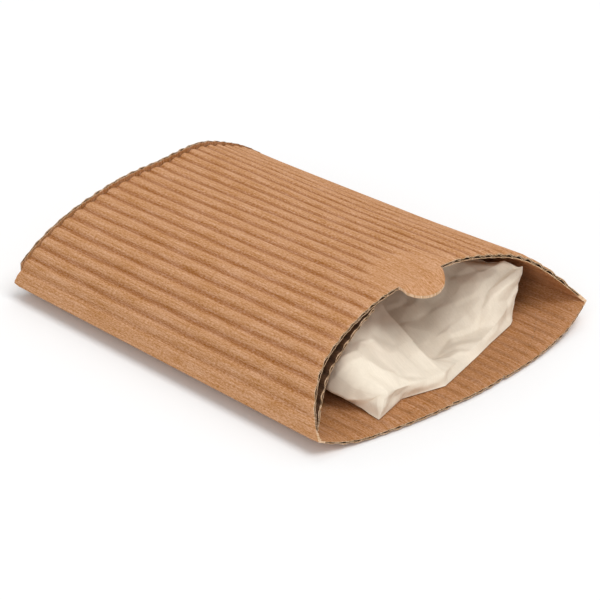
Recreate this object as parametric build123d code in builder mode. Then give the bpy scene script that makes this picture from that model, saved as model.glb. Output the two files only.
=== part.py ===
"""Ribbed kraft pillow box with an open front flap, a closed back flap and a tissue nest.

The box is one folded sheet of fluted board: an arched top panel and a flatter bottom
panel meet along two crushed side creases.  The board has three layers, a ribbed outer
liner, a wavy fluting and a smooth inner liner, with the channels running front to back.
Frame: +Z up, the open front faces -Y, the near side crease lies at -X, and the origin
is under the middle of the box on the surface that it rests on.  Sizes are millimetres.
"""

import math
import os

from build123d import *

os.makedirs("parts", exist_ok=True)

# Overall sizes of the box
box_width = 86.0            # between the two side creases
box_length = 101.0          # along the side creases, tip to tip
top_rise = 19.0             # the top panel's arch above the creases
crease_height = 3.6         # the creases' height above the table
bottom_lift_run = 12.0      # the bottom panel curves up to each crease over this width

# Board: outer liner, fluting and inner liner
board_thickness = 1.6
liner_thickness = 0.25
fluting_thickness = 0.2
flute_pitch = 3.4
rib_height = 0.5            # valley to crest on the outer liner
glue_gap = 0.03             # glue film between the fluting and each liner
crest_flat = 0.03           # the crests underneath are pressed flat this deep

# How the arches turn, in degrees, from the crown to the foot
top_crown_turn = 20.0
top_foot_turn = 61.0
front_crown_turn = 8.0
front_foot_turn = 66.0
back_crown_turn = 1.0
back_foot_turn = 19.0

# End cuts, seen from above
front_cut_depth = 11.2      # the top panel's front edge draws back this far
back_cut_depth = 5.2        # both panels' back edges draw back this far

# Side creases
crush_width = 4.0           # board crushed solid along each crease
crease_thickness = 0.9

# Front flap, hinged on a straight score
front_apron_reach = 5.7     # the bottom panel's ears reach this far past the tips
front_flap_length = 19.4
front_flap_inset = 7.0      # its sides stand this far inside the side creases
front_flap_side = 4.0       # its sides run straight this far from the score
score_setback = 1.9         # the score lies this far behind the top panel's front edge
score_gap = 0.5             # crushed line between the flap and the bottom panel

# Back flap, a curved wall outside the back edges
back_flap_gap = 0.3
back_flap_proud = 0.9       # its rim stands above the top panel
back_flap_foot = 0.35       # its lower edge above the bottom panel's outer face
back_flap_side_gap = 1.5    # its sides stop at least this far short of the side creases

# Thumb tab on the top panel's front edge
tab_radius = 6.6
tab_thickness = 0.9
tab_offset = 0.4            # the tab's centre lies this far inside the front edge

# Seam lap: the glued inner strip that rises from the near crease
lap_thickness = 1.0
lap_liner = 0.18
lap_fluting = 0.14
lap_rib_height = 0.35
lap_bow = 1.2               # how far the lap bows away from the top panel
lap_seat = 0.1              # gap between the lap's glued edge and the top panel
film_clearance = 0.01       # the glue line stays this far from both
lap_width_ribs = 8          # width of the lap, in ribs
lap_foot_ribs = 0.5         # its lower edge lies this many ribs above the crushed board
glue_line_ribs = 1.5        # width of the glue line, in ribs

# Tissue nest
tissue_length = 61.0
tissue_reach = 12.0         # its front lies this far in front of the score
tissue_front_round = 6.0    # its front edge rounds back this far at the sides
tissue_side_gap = 18.0      # its floor ends this far inside the side creases
tissue_bulge = 4.5          # its sides swell this far past its floor
tissue_side_height = 12.0
tissue_side_lean = 3.0      # the crest of each side wall lies this far inside its floor's edge
tissue_hollow_height = 5.0
tissue_hollow_inset = 13.0  # the hollow's floor ends this far inside the tissue's own
tissue_clearance = 0.3

# One overrun serves all the cutting solids
overrun = 5.0

# Shares used by the outlines
step_shares = (0, 0.5, 1)
quarter_wave_share = 0.25

half_width = box_width / 2
half_length = box_length / 2
half_board = board_thickness / 2
front_tip_y = -half_length
back_tip_y = half_length
score_y = front_tip_y + front_cut_depth + score_setback
bottom_flat_half_width = half_width - bottom_lift_run
front_flap_half_width = half_width - front_flap_inset
tissue_floor_half_width = half_width - tissue_side_gap
tissue_half_width = tissue_floor_half_width + tissue_bulge
tissue_side_top_x = tissue_floor_half_width - tissue_side_lean
tissue_hollow_half_width = tissue_floor_half_width - tissue_hollow_inset
bottom_level = half_board - crest_flat


def arch(half_span, rise, crown_turn, foot_turn):
    """A three-centre arch, as the (length, radius) of its crown and of its shoulder."""
    crown, foot = math.radians(crown_turn), math.radians(foot_turn)
    a, b = math.sin(crown), math.sin(foot) - math.sin(crown)
    c, d = 1 - math.cos(crown), math.cos(crown) - math.cos(foot)
    crown_radius = (half_span * d - rise * b) / (a * d - b * c)
    shoulder_radius = (a * rise - c * half_span) / (a * d - b * c)
    return [(crown_radius * crown, crown_radius), (shoulder_radius * (foot - crown), shoulder_radius)]


class Strip:
    """A symmetric line of board seen edge on, walked by its arc length from the middle.

    Its spans are (length, radius) pairs, with a radius below zero where it turns up and
    None where it is straight; level is the height of its middle, and side is +1 where
    the outer face is above it and -1 where it is below.
    """

    def __init__(self, spans, level, side):
        self.spans = spans
        self.level = level
        self.side = side
        self.half = sum(length for length, _ in spans)

    def point(self, s, offset=0.0):
        """The point at arc length s, offset towards the outer face."""
        x = z = turn = 0.0
        left = abs(s)
        for length, radius in self.spans:
            step = min(left, length)
            left -= step
            if radius is None:
                x += step
                continue
            end = turn + step / radius
            x += radius * (math.sin(end) - math.sin(turn))
            z += radius * (math.cos(end) - math.cos(turn))
            turn = end
        x += left * math.cos(turn) + offset * math.sin(turn)
        z += offset * math.cos(turn) - left * math.sin(turn)
        return (math.copysign(x, s), self.level + self.side * z)

    def breaks(self, start, end):
        """The arc lengths from start to end, with the places between where a span changes."""
        places = {start, end}
        reach = 0.0
        for length, _ in self.spans[:-1]:
            reach += length
            places.update(s for s in (-reach, reach) if min(start, end) < s < max(start, end))
        return sorted(places, reverse=end < start)


def join(start, middle, end):
    """Draws an arc through three points, or a line where they lie straight."""
    bend = (middle[0] - start[0]) * (end[1] - start[1]) - (middle[1] - start[1]) * (end[0] - start[0])
    if abs(bend) < crest_flat * glue_gap:
        Line(start, end)
    else:
        ThreePointArc(start, middle, end)


def draw_run(strip, start, end, offset=0.0):
    """Draws a strip's line at a level offset, one edge to each of its spans."""
    places = strip.breaks(start, end)
    for a, b in zip(places, places[1:]):
        join(strip.point(a, offset), strip.point((a + b) / 2, offset), strip.point(b, offset))


def draw_waves(strip, start, end, offset):
    """Draws a strip's line at a changing offset, one edge to each half wave."""
    steps = round(abs(end - start) / (flute_pitch / 2))
    size = (end - start) / steps
    for n in range(steps):
        places = [start + size * (n + share) for share in step_shares]
        join(*[strip.point(s, offset(s)) for s in places])


def wave(middle, height):
    """An offset that waves about middle, crest to valley height, with a crest at the crown."""
    return lambda s: middle + height / 2 * math.cos(2 * math.pi * s / flute_pitch)


def draw_layer(strip, start, end, outer, inner):
    """Draws the closed outline of one layer between two changing offsets."""
    draw_waves(strip, start, end, outer)
    Line(strip.point(end, outer(end)), strip.point(end, inner(end)))
    draw_waves(strip, end, start, inner)
    Line(strip.point(start, inner(start)), strip.point(start, outer(start)))


def board_layers(thickness, liner, fluting, ribs, shift=lambda s: 0.0):
    """The two waving layers of a board, as (suffix, outer, inner), and its inner liner's."""
    half = thickness / 2
    liner_middle = half - ribs / 2
    flute_top = half - liner - glue_gap
    flute_low = liner - half + glue_gap
    flute_wave = flute_top - flute_low - fluting
    flute_middle = flute_top - flute_wave / 2

    def moved(offset):
        return lambda s: offset(s) + shift(s)

    return [
        ("outer_liner", moved(wave(liner_middle, ribs)), moved(wave(liner_middle - liner, ribs))),
        ("fluting", moved(wave(flute_middle, flute_wave)), moved(wave(flute_middle - fluting, flute_wave))),
        ("inner_liner", moved(lambda s: liner - half), moved(lambda s: -half)),
    ]


def save(part, name):
    """Labels a finished piece and writes it to its own file."""
    part.label = name
    export_step(part, f"parts/{name}.step")


def board_end(strip, margin):
    """The last place at least a margin short of the strip's end where the waves cross their middle."""
    ribs = math.floor((strip.half - margin) / flute_pitch - quarter_wave_share)
    return (ribs + quarter_wave_share) * flute_pitch


bottom_rise = crease_height - bottom_level
bottom_arc_radius = (bottom_lift_run**2 + bottom_rise**2) / (2 * bottom_rise)
bottom_foot_turn = math.asin(bottom_lift_run / bottom_arc_radius)

top_spans = arch(half_width, top_rise, top_crown_turn, top_foot_turn)
bottom_spans = [(bottom_flat_half_width, None), (bottom_arc_radius * bottom_foot_turn, bottom_arc_radius)]
front_spans = arch(half_width, front_cut_depth, front_crown_turn, front_foot_turn)
back_spans = arch(half_width, back_cut_depth, back_crown_turn, back_foot_turn)

top_strip = Strip(top_spans, crease_height + top_rise, 1)
bottom_strip = Strip(bottom_spans, bottom_level, -1)
front_cut = Strip(front_spans, front_tip_y + front_cut_depth, 1)
back_cut = Strip([(length, -radius) for length, radius in back_spans], back_tip_y - back_cut_depth, 1)

top_end = board_end(top_strip, crush_width)
bottom_end = board_end(bottom_strip, crush_width)

# Outlines, seen from above
with BuildSketch() as top_outline:
    with BuildLine():
        draw_run(front_cut, -front_cut.half, front_cut.half)
        Polyline(
            (half_width, front_tip_y),
            (half_width + overrun, front_tip_y),
            (half_width + overrun, back_tip_y),
            (half_width, back_tip_y),
        )
        draw_run(back_cut, back_cut.half, -back_cut.half)
        Polyline(
            (-half_width, back_tip_y),
            (-half_width - overrun, back_tip_y),
            (-half_width - overrun, front_tip_y),
            (-half_width, front_tip_y),
        )
    make_face()


def draw_flap(gap):
    """Draws the front flap's outline, grown by a gap at its sides and front."""
    half = front_flap_half_width + gap
    side_y = score_y - front_flap_side
    rear_y = score_y - score_gap + gap
    Line((-half, rear_y), (-half, side_y))
    ThreePointArc((-half, side_y), (0, score_y - front_flap_length - gap), (half, side_y))
    Polyline((half, side_y), (half, rear_y), (-half, rear_y))


with BuildSketch() as flap_outline:
    with BuildLine():
        draw_flap(0)
    make_face()

with BuildSketch() as bottom_outline:
    with BuildLine():
        ThreePointArc(
            (-half_width, front_tip_y), (0, front_tip_y - front_apron_reach), (half_width, front_tip_y)
        )
        Polyline(
            (half_width, front_tip_y),
            (half_width + overrun, front_tip_y),
            (half_width + overrun, back_tip_y),
            (half_width, back_tip_y),
        )
        draw_run(back_cut, back_cut.half, -back_cut.half)
        Polyline(
            (-half_width, back_tip_y),
            (-half_width - overrun, back_tip_y),
            (-half_width - overrun, front_tip_y),
            (-half_width, front_tip_y),
        )
    make_face()
    with BuildLine():
        draw_flap(score_gap)
    make_face(mode=Mode.SUBTRACT)


def make_board(strip, layers, start, end, outline, prefix):
    """Runs each layer of a board front to back, trims it to its outline and saves it."""
    for suffix, outer, inner in layers:
        with BuildPart() as layer:
            with BuildSketch(Plane.XZ):
                with BuildLine():
                    draw_layer(strip, start, end, outer, inner)
                make_face()
            extrude(amount=box_length, both=True)
            add(outline.sketch)
            extrude(amount=top_rise + box_width, mode=Mode.INTERSECT)
        save(layer.part, f"{prefix}_{suffix}")


board = board_layers(board_thickness, liner_thickness, fluting_thickness, rib_height)
make_board(top_strip, board, -top_end, top_end, top_outline, "top_panel")
make_board(bottom_strip, board, -bottom_end, bottom_end, bottom_outline, "bottom_panel")
make_board(bottom_strip, board, -bottom_end, bottom_end, flap_outline, "front_flap")

# Seam lap, inside the near side of the top panel
lap_start = lap_foot_ribs * flute_pitch - top_end
lap_stop = lap_start + lap_width_ribs * flute_pitch


def lap_shift(s):
    """How far the lap's middle lies from the top panel's middle, bowed between its edges."""
    share = (s - lap_start) / (lap_stop - lap_start)
    return -half_board - lap_seat - lap_thickness / 2 - lap_bow * math.sin(math.pi * share) ** 2


lap = board_layers(lap_thickness, lap_liner, lap_fluting, lap_rib_height, lap_shift)
make_board(top_strip, lap, lap_start, lap_stop, top_outline, "seam_lap")

# Glue line that holds the lap's upper edge to the top panel
glue_start = lap_stop - glue_line_ribs * flute_pitch
glue_high = -half_board - film_clearance
glue_low = film_clearance - half_board - lap_seat
with BuildPart() as seam_glue:
    with BuildSketch(Plane.XZ):
        with BuildLine():
            draw_run(top_strip, glue_start, lap_stop, glue_high)
            Line(top_strip.point(lap_stop, glue_high), top_strip.point(lap_stop, glue_low))
            draw_run(top_strip, lap_stop, glue_start, glue_low)
            Line(top_strip.point(glue_start, glue_low), top_strip.point(glue_start, glue_high))
        make_face()
    extrude(amount=box_length, both=True)
    add(top_outline.sketch)
    extrude(amount=top_rise + box_width, mode=Mode.INTERSECT)
save(seam_glue.part, "seam_glue_line")

# Thumb tab, a half moon of pressed board on the top panel's front edge
tab_y = front_tip_y + front_cut_depth + tab_offset
with BuildSketch() as tab_outline:
    with Locations((0, tab_y)):
        Circle(tab_radius)
    add(top_outline.sketch, mode=Mode.SUBTRACT)

with BuildPart() as thumb_tab:
    with BuildSketch(Plane.XZ):
        with BuildLine():
            draw_run(top_strip, -tab_radius - overrun, tab_radius + overrun, tab_thickness / 2)
            Line(
                top_strip.point(tab_radius + overrun, tab_thickness / 2),
                top_strip.point(tab_radius + overrun, -tab_thickness / 2),
            )
            draw_run(top_strip, tab_radius + overrun, -tab_radius - overrun, -tab_thickness / 2)
            Line(
                top_strip.point(-tab_radius - overrun, -tab_thickness / 2),
                top_strip.point(-tab_radius - overrun, tab_thickness / 2),
            )
        make_face()
    extrude(amount=box_length, both=True)
    add(tab_outline.sketch)
    extrude(amount=top_rise + box_width, mode=Mode.INTERSECT)
save(thumb_tab.part, "thumb_tab")

# Side creases: the board crushed solid where it folds, rounded round the crease line
half_crease = crease_thickness / 2
foot_turn = math.radians(top_foot_turn)
inner_half_angle = (math.pi - foot_turn - bottom_foot_turn) / 2
bisector_turn = math.pi - foot_turn + inner_half_angle
inner_reach = half_crease / math.sin(inner_half_angle)


def around(side, turn, radius):
    """A point at a radius round a crease line, at a turn up from straight outwards."""
    return (side * (half_width + radius * math.cos(turn)), crease_height + radius * math.sin(turn))


def draw_leg(side, strip, end, nose_turn):
    """Draws one leg of a crease, from the fold's middle to where the board begins."""
    middle = (end + strip.half) / 2
    foot, far, mid = side * strip.half, side * end, side * middle
    nose, inner = around(side, 0, half_crease), around(side, bisector_turn, inner_reach)
    ThreePointArc(nose, around(side, nose_turn / 2, half_crease), strip.point(foot, half_crease))
    places = [strip.point(s, half_crease) for s in (foot, mid, far)]
    ThreePointArc(*places)
    Line(strip.point(far, half_crease), strip.point(far, -half_crease))
    ThreePointArc(strip.point(far, -half_crease), strip.point(mid, -half_crease), inner)
    Line(inner, nose)


def make_crease(side, name, with_root):
    """Makes one side crease; the near one also carries the root of the seam lap."""
    with BuildPart() as upper:
        with BuildSketch(Plane.XZ):
            with BuildLine():
                draw_leg(side, top_strip, top_end, math.pi / 2 - foot_turn)
            make_face()
            if with_root:
                outer, inner = -half_board - lap_seat, -half_board - lap_seat - crease_thickness
                start, end = lap_start, -top_strip.half
                with BuildLine():
                    draw_run(top_strip, start, end, outer)
                    Line(top_strip.point(end, outer), top_strip.point(end, inner))
                    draw_run(top_strip, end, start, inner)
                    Line(top_strip.point(start, inner), top_strip.point(start, outer))
                make_face()
        extrude(amount=box_length, both=True)
        add(top_outline.sketch)
        extrude(amount=top_rise + box_width, mode=Mode.INTERSECT)
    with BuildPart() as crease:
        with BuildSketch(Plane.XZ):
            with BuildLine():
                draw_leg(side, bottom_strip, bottom_end, bottom_foot_turn - math.pi / 2)
            make_face()
        extrude(amount=box_length, both=True)
        add(bottom_outline.sketch)
        extrude(amount=top_rise + box_width, mode=Mode.INTERSECT)
        add(upper.part)
    save(crease.part, name)


make_crease(-1, "near_side_crease", True)
make_crease(1, "far_side_crease", False)

# Back flap: a curved wall that stands against the back edges of both panels
wall_end = board_end(back_cut, back_flap_side_gap)
wall_offset = back_flap_gap + half_board
rim_offset = half_board + back_flap_proud
foot_offset = half_board - crest_flat - back_flap_foot
wall_layers = board_layers(
    board_thickness, liner_thickness, fluting_thickness, rib_height, lambda s: wall_offset
)

for suffix, outer, inner in wall_layers:
    with BuildSketch() as wall_plan:
        with BuildLine():
            draw_layer(back_cut, -wall_end, wall_end, outer, inner)
        make_face()
    with BuildPart() as wall:
        with BuildSketch(Plane.XZ):
            with BuildLine():
                top_side, foot_side = top_strip.half, bottom_strip.half
                draw_run(top_strip, -top_side, top_side, rim_offset)
                Line(top_strip.point(top_side, rim_offset), bottom_strip.point(foot_side, foot_offset))
                draw_run(bottom_strip, foot_side, -foot_side, foot_offset)
                Line(bottom_strip.point(-foot_side, foot_offset), top_strip.point(-top_side, rim_offset))
            make_face()
        extrude(amount=box_length, both=True)
        add(wall_plan.sketch)
        extrude(amount=top_rise + box_width, mode=Mode.INTERSECT)
    save(wall.part, f"back_flap_{suffix}")

# Tissue nest: a crumpled sheet with a raised wall at each side and a hollow between
tissue_floor = bottom_level + half_board + tissue_clearance
tissue_front_y = score_y - tissue_reach
wall_side = (tissue_half_width, tissue_floor + tissue_side_height / 2)
wall_top = (tissue_side_top_x, tissue_floor + tissue_side_height)
hollow_edge = (tissue_hollow_half_width, tissue_floor + tissue_hollow_height)

with BuildPart() as tissue:
    with BuildSketch(Plane.XZ):
        with BuildLine():
            Line((-tissue_floor_half_width, tissue_floor), (tissue_floor_half_width, tissue_floor))
            ThreePointArc((tissue_floor_half_width, tissue_floor), wall_side, wall_top)
            Line(wall_top, hollow_edge)
            Line(hollow_edge, (-hollow_edge[0], hollow_edge[1]))
            Line((-hollow_edge[0], hollow_edge[1]), (-wall_top[0], wall_top[1]))
            ThreePointArc(
                (-wall_top[0], wall_top[1]), (-wall_side[0], wall_side[1]), (-tissue_floor_half_width, tissue_floor)
            )
        make_face()
    extrude(amount=box_length, both=True)
    with BuildSketch():
        with BuildLine():
            side_y = tissue_front_y + tissue_front_round
            rear_y = tissue_front_y + tissue_length
            half = tissue_half_width + overrun
            ThreePointArc((-half, side_y), (0, tissue_front_y), (half, side_y))
            Polyline((half, side_y), (half, rear_y), (-half, rear_y), (-half, side_y))
        make_face()
    extrude(amount=top_rise + box_width, mode=Mode.INTERSECT)
save(tissue.part, "tissue_paper")

# The flaps' fold lines, for the joints
front_fold_z = bottom_strip.point(front_flap_half_width, -half_board)[1]
back_fold_y = back_cut.point(wall_end, wall_offset + half_board)[1]
print(f"front fold y {score_y - score_gap / 2:.3f} z {front_fold_z:.3f}")
print(f"back fold y {back_fold_y:.3f} z {back_flap_foot:.3f}")
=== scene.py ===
"""The look of a ribbed kraft pillow box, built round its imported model.

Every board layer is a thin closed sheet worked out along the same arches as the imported
model, with its ribs, pressed edges and cut ends.  Units are metres, with +Z up.
"""

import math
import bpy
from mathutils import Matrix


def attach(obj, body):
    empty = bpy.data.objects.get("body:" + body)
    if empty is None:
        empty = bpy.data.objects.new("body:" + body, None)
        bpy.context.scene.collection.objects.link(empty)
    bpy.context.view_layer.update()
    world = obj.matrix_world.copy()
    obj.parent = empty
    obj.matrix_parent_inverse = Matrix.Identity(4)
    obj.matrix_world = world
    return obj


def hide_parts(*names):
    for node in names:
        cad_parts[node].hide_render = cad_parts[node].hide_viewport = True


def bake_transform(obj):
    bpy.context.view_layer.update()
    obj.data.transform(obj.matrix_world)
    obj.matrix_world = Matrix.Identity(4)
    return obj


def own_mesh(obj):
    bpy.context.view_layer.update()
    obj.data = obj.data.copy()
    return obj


bl_info = {
    "name": "Ribbed Pillow Box",
    "version": (1, 0, 0),
    "blender": (4, 5, 0),
    "location": "View3D > Sidebar > Pillow Box",
    "description": "Builds the board, creases, tab and tissue of a ribbed kraft pillow box",
    "category": "Object",
}

from collections import namedtuple

import bpy
import numpy as np
from mathutils import Vector

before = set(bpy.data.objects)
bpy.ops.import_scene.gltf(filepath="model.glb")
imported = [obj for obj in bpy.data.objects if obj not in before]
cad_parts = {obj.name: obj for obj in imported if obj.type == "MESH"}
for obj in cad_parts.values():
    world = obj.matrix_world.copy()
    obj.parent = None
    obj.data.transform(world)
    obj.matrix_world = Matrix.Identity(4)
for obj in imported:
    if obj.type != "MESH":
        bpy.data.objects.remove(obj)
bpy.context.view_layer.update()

MM = 0.001
CUT_SAMPLES, LINE_SAMPLES, CURVE_SAMPLES = 400, 800, 2000  # points along a curve that is read

# Arches, as degrees turned at the end of the crown and at the foot
TOP_TURNS = (20, 61)
FRONT_TURNS = (8, 66)
BACK_TURNS = (1, 19)

# Ribs
RIB_SAMPLES = 14  # points across one rib
RIB_UNEVEN = 0.12  # how much the ribs' height varies
RIPPLE_BACK = 0.6  # the hidden face's share of the inner liner's ripple
UNEVEN_WAVES = (  # size, radians per millimetre along the arch and along Y, start
    (0.40, 0.21, 0.13, 0.7), (0.30, 0.47, -0.09, 2.1), (0.20, 0.12, 0.31, 4.0),
    (0.10, 1.07, 0.23, 1.3),
)

# Board and its cut ends
FLOOR_GAP = 0.03 * MM  # under the bottom panel
GLUE_FILM = 0.03 * MM  # between the fluting and each liner
ROW_POWER = 1.5  # above 1, the grid's rows lie closer at the front
SLIT = 0.03 * MM  # between the front flap and the ears
EAR_START = 0.4 * MM  # the ears start where they are this deep
FILLET = 0.15 * MM  # inside the side creases
LAYERS_END = 1.4 * MM  # the layers stop this far short of the crease lines
TIP_CORNER = 1.2 * MM  # radius of the corner at each back tip
TIP_OUT = 0.45 * MM  # that corner's outer side, past the crease line
UV_SCALE = 10  # units of the UV map to a metre
RAGGED_WAVES = (  # size, radians per millimetre, share of the seed
    (0.5, 2.3, 1.0), (0.3, 5.1, 2.7), (0.2, 9.7, 5.3),
)

# Layers of the board: recess, raggedness and seed of the cut ends, power of the ribs' sine
# (above 2, valleys are narrow), and the papers of the outer face, the rims and the inner face
Layer = namedtuple("Layer", "slot recess ragged seed power papers")
SOLID_PAPERS = ("kraft_outer", "cut_edge", "kraft_inner")
# The fluting paper is darkened nearly to black as painted shade. The fluting takes it on both faces, and
# the liners take it on their hidden faces inside the board, which show only through the flute holes.
SHADED_FLUTING_PAPERS = ("kraft_fluting", "cut_edge", "kraft_fluting")
LAYERS = {
    "outer_liner": Layer("kraft_outer", 0.0, 0.10 * MM, 1.0, 2.6, ("kraft_outer", *SHADED_FLUTING_PAPERS[1:])),
    "fluting": Layer("kraft_fluting", 0.06 * MM, 0.12 * MM, 2.3, 2.0, SHADED_FLUTING_PAPERS),
    "inner_liner": Layer("kraft_inner", 0.03 * MM, 0.12 * MM, 3.9, 2.6, (*SHADED_FLUTING_PAPERS[:2], "kraft_inner")),
}

# Grids of the parts
WALL_ROWS, GLUE_ROWS, CREASE_ROWS, TAB_ROWS = 26, 40, 48, 18
PRESSED_CUT = 0.5  # share of the board crushed at the bottom's free front edge
PARTS = {  # rows, the fluting's rows, seeds of the front and the back cut, share crushed in front
    "top": (48, 20, 0, 1, 0.28), "lap": (30, 14, 6, None, 0.0), "bottom": (30, 14, None, 3, 0.0),
    "ear": (10, 10, 2, None, PRESSED_CUT), "root": (16, 16, 2, None, PRESSED_CUT),
    "tongue": (24, 24, 2, None, PRESSED_CUT),
}
SHARP, CREASE_SHARP, FOLD_SHARP = 40, 50, 60  # degrees above which an edge is shaded sharp

# Smooth steps, as where each starts and how far it runs
SKEW_RISE = (-4 * MM, 26 * MM)  # along X, on the back edges
SKEW_FALL = (30 * MM, 13 * MM)
SETTLE_SIDE = (-20 * MM, 32 * MM)  # along X, towards the far side
SETTLE_RUN = (-40 * MM, 80 * MM)  # along Y, towards the back, and even instead of smooth
PEAK_RUN = (-10 * MM, 55 * MM)  # along Y, towards the back peak
LIFT_SIDE = (18 * MM, 25 * MM)  # along X, towards the far tip
LIFT_RUN = (5 * MM, 45 * MM)  # along Y, towards the front
TAB_PRESSED = (5.5 * MM, 6 * MM)  # the board is full again this far from the tab's centre
TAB_BARE = (5.8 * MM, 8 * MM)  # the ribs come back this far from the tab's centre

# Pressed and settled board
CREASE_PRESS = 9.5 * MM  # the board thins towards each crease over this width
CREASE_BARE = 3.6 * MM  # the ribs end over this width
CREASE_THIN = 0.5  # share of thickness and ribs lost at the creases
THIN_POWER = 1.5  # above 1, it thins closer to the crease
TAB_THIN = 0.4  # share of thickness lost round the tab
CUT_REACH = 2.4 * MM  # the cut ends are pressed over this width
NEAR_SETTLE = 0.5  # the near side's share of the settling
PEAK_PLACE, PEAK_WIDTH = 13 * MM, 12 * MM  # of the back peak, along X
DENT_WIDTH = 8 * MM  # of the dip round the tab
DENT_FLOOR = 8 * MM  # the dip round the tab stays this far above the creases

# Back flap
WALL_RIBS = 12.25  # half its length, in ribs
WALL_GAP = 0.2 * MM  # behind the panels' back edges
WALL_FOOT = 0.38 * MM  # its foot above the bottom panel's outer face
WALL_PROUD = 0.75 * MM  # its rim above the top panel, in the middle
WALL_MIDDLE = (0.25, 0.75)  # the middle ends in this step, in shares of half its length
WALL_SIDE = (0.86, 0.14)  # and it thins towards its sides in this one
WALL_RIM = 5 * MM  # and over this height below its rim
WALL_THIN = (0.35, 0.42)  # share of thickness lost at its sides and at its rim
WALL_BARE = 0.35  # share of the ribs lost at its rim

# Side creases
CREASE_COLUMNS = 40
CREASE_DRAW = 2.4 * MM  # the bottom's back corner draws in this far
NOSE_POINTS = 10
NOSE_BULGE = (0.9, 0, -0.2)  # the way that the lining's fillet turns out

# Seam lap and its glue
LAP_THIN = 0.72  # its liners and fluting, as a share of the board's
LAP_RIBS = 0.7  # and its ribs
LAP_START = 1.8 * MM  # past the crease line
LAP_STOP = 4.75  # its glued edge from the middle, in ribs
LAP_SEAT = 0.1 * MM  # between it and the top panel
LAP_INSET = (0.25 * MM, 0.5 * MM)  # from the top panel's front and back edges
BOW_SHARE, BOW_POWER = 0.8, 1.2  # lean the bow towards its root and round its ends
GLUE_RIBS = 1.5  # width of the glue line, in ribs
GLUE_INSET = 2 * MM  # from the front and back edges
GLUE_UNEVEN = 0.02 * MM
GLUE_WAVES = 9  # how much finer its unevenness is than the ribs'

# Thumb tab
TAB_TURN = 86  # degrees from its middle to its ends
TAB_COLUMNS = 61
TAB_ROOT = 0.2 * MM  # behind the front edge
TAB_LEAST = 0.06 * MM  # its length at its ends
TAB_RAGGED, TAB_SEED = 0.04 * MM, 3.0
TAB_EDGE, TAB_EDGE_THIN = 0.8 * MM, 0.35  # width of its thinner rim, and the share lost there
TAB_BEND = 2.5 * MM  # the droop sets in over this length
TAB_LIGHT, GLUE_LIGHT = 0.62, 0.5  # how far their colour is from the valleys' to the crests'


def length(name, millimetres, text):
    """A length property in metres, given in millimetres."""
    return bpy.props.FloatProperty(
        name=name, default=millimetres * MM, description=text, unit="LENGTH", precision=5
    )


def turn(name, degrees, text):
    """An angle property, given in degrees."""
    return bpy.props.FloatProperty(
        name=name, default=math.radians(degrees), description=text, subtype="ANGLE"
    )


def tint(name, default, text):
    """A colour property."""
    return bpy.props.FloatVectorProperty(
        name=name, default=default, description=text, subtype="COLOR", size=3, min=0, max=1
    )


class PillowBoxSizes(bpy.types.PropertyGroup):
    """Real sizes of the box and its board."""

    width: length("Width", 86, "Between the two side creases")
    length: length("Length", 101, "Along the side creases, tip to tip")
    rise: length("Rise", 20, "The top panel's arch above the creases")
    crease_height: length("Crease height", 3.6, "The creases above the table")
    flat: length("Flat width", 62, "The part of the bottom panel that lies flat")
    board: length("Board", 1.6, "Thickness of the fluted board")
    liner: length("Liner", 0.29, "Thickness of each liner")
    fluting: length("Fluting", 0.22, "Thickness of the fluting")
    pitch: length("Flute pitch", 3.4, "Distance from rib to rib")
    rib: length("Rib height", 0.5, "Valley to crest on the outer liner")
    ripple: length("Ripple", 0.16, "Valley to crest on the inner liner")
    front_cut: length("Front cut", 11.2, "How far the top panel's front edge draws back")
    back_cut: length("Back cut", 5.2, "How far the back edges draw back")
    settle: bpy.props.FloatProperty(
        name="Settle", default=0.14, min=0, max=0.5,
        description="Share of its height that the closed back end has sunk",
    )
    back_peak: length("Back peak", 1.5, "How far the middle of the closed back end stands up again")
    back_skew: length("Back skew", 2.8, "How much less the far half of the back edges draws back")
    tab_dent: length("Tab dent", 1.1, "How far the panel dips round the thumb tab")
    tab_shift: length("Tab shift", -1.5, "The tab's place along the front edge")
    tab_reach: length("Tab reach", 5.9, "From the tab's centre to its front")
    tab_droop: turn("Tab droop", 26, "How far the tab bends down")
    apron: length("Apron", 6.2, "How far the bottom panel reaches past the front tips")
    tip_lift: length("Tip lift", 1.2, "How far the far front tip stands above the near one")
    flap_length: length("Flap length", 19.4, "From the score to the flap's front")
    flap_half: length("Flap half width", 36, "Half the flap's width at the score")
    flap_side: length("Flap side", 4, "Straight length of the flap's sides")
    setback: length("Setback", 1.9, "The score behind the top panel's front edge")
    tab_radius: length("Tab radius", 6.6, "Radius of the thumb tab")
    tab_offset: length("Tab offset", 0.4, "The tab's centre inside the front edge")
    lap_board: length("Lap board", 1.0, "Thickness of the seam lap")
    lap_bow: length("Lap bow", 2.1, "How far the lap bows away from the top panel")


class PillowBoxColours(bpy.types.PropertyGroup):
    """Colours of the board, tissue and stage."""

    kraft: tint("Kraft", (0.54, 0.272, 0.126), "Outer liner on the ribs")
    # Painted shade: the valleys' colour is darker than the crests' to stand for the shade between the
    # ribs.
    valley: tint("Kraft valley", (0.36, 0.150, 0.056), "Outer liner between the ribs")
    inner: tint("Inner liner", (0.44, 0.205, 0.085), "Inner liner on its ripples")
    # Painted shade: darker between the inner liner's ripples.
    inner_valley: tint("Inner valley", (0.35, 0.155, 0.060), "Inner liner between its ripples")
    # Painted shade: the fluting is nearly black to stand for the shade in the flute holes and in the gap
    # under the lap.
    fluting: tint("Fluting", (0.095, 0.044, 0.019), "The wavy middle layer")
    cut: tint("Cut edge", (0.68, 0.45, 0.27), "Fibres on the cut ends of the board")
    glue: tint("Glue", (0.72, 0.62, 0.42), "Dried glue")
    tissue: tint("Tissue", (0.87, 0.772, 0.632), "Tissue paper in the light")
    floor: tint("Floor", (0.80, 0.80, 0.80), "The surface under the box")


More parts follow.
